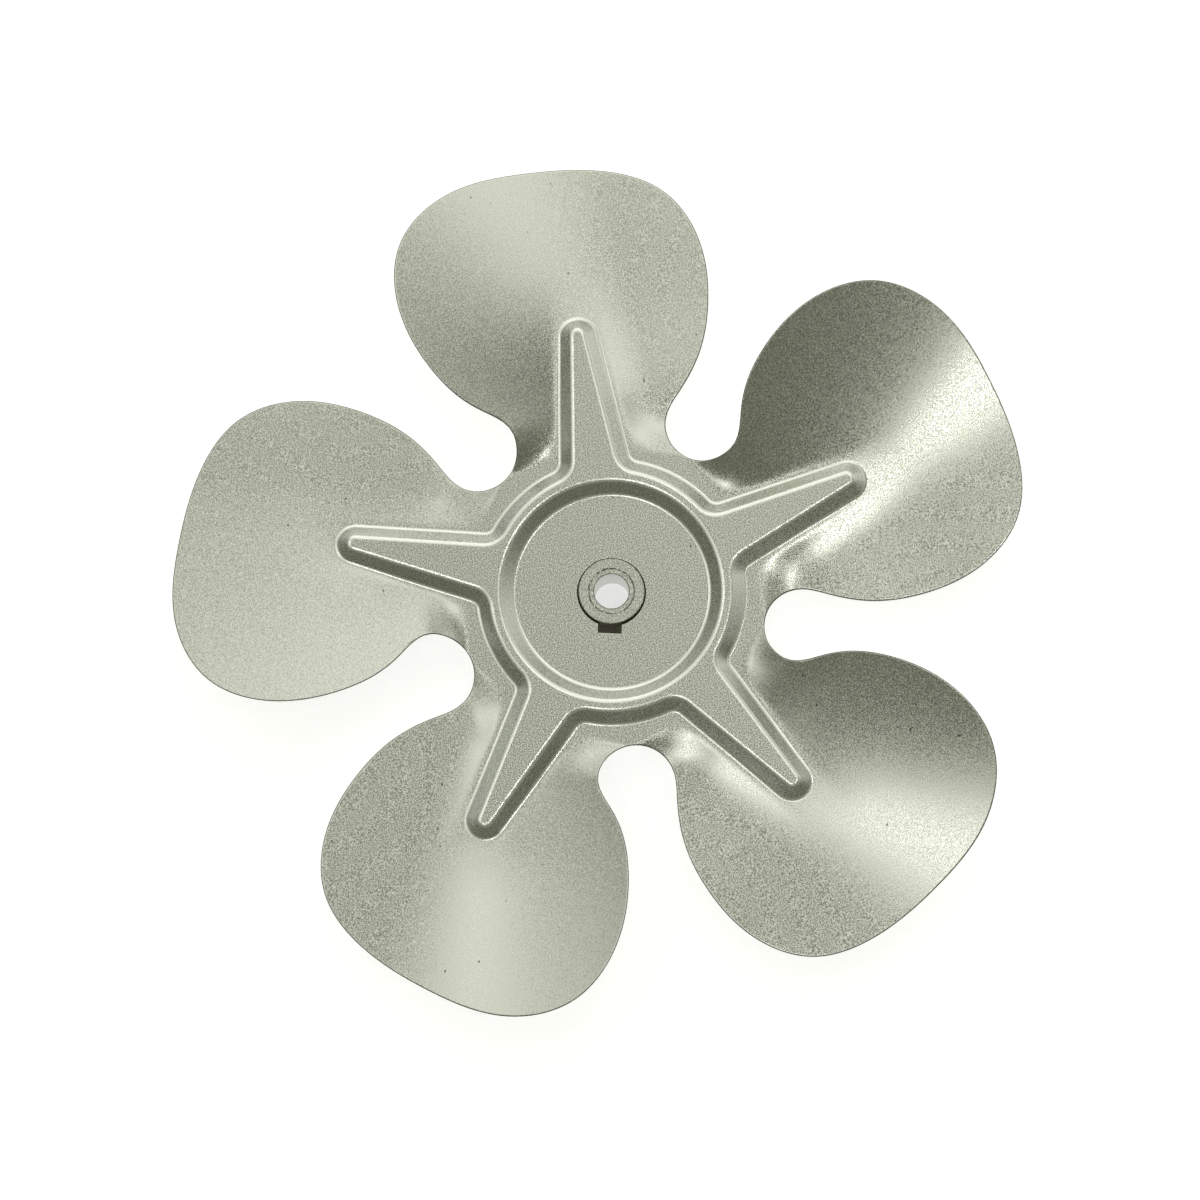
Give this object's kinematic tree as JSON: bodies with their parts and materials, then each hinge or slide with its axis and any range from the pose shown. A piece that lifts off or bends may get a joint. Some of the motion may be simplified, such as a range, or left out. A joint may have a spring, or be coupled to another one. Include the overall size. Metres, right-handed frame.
{
  "type": "axial fan impeller",
  "caption": "Pressed aluminium fan blade with wide lobed blades, a raised star with a sunken disc, and a riveted hub for a round motor shaft.",
  "frame": {"origin": "on the shaft axis at the hub's rear face", "axes": "+Z along the shaft axis, out of the front of the fan; +X along one arm of the star"},
  "size_m": [0.1933, 0.1968, 0.0266],
  "materials": {
    "pressed_aluminium": "satin pressed sheet with a fine grain",
    "hub_metal": "turned, dull",
    "screw_steel": "black oxide"
  },
  "bodies": {
    "root": {"blade_sheet": "pressed_aluminium", "hub": "hub_metal", "grub_screw": "screw_steel"}
  },
  "joints": []
}
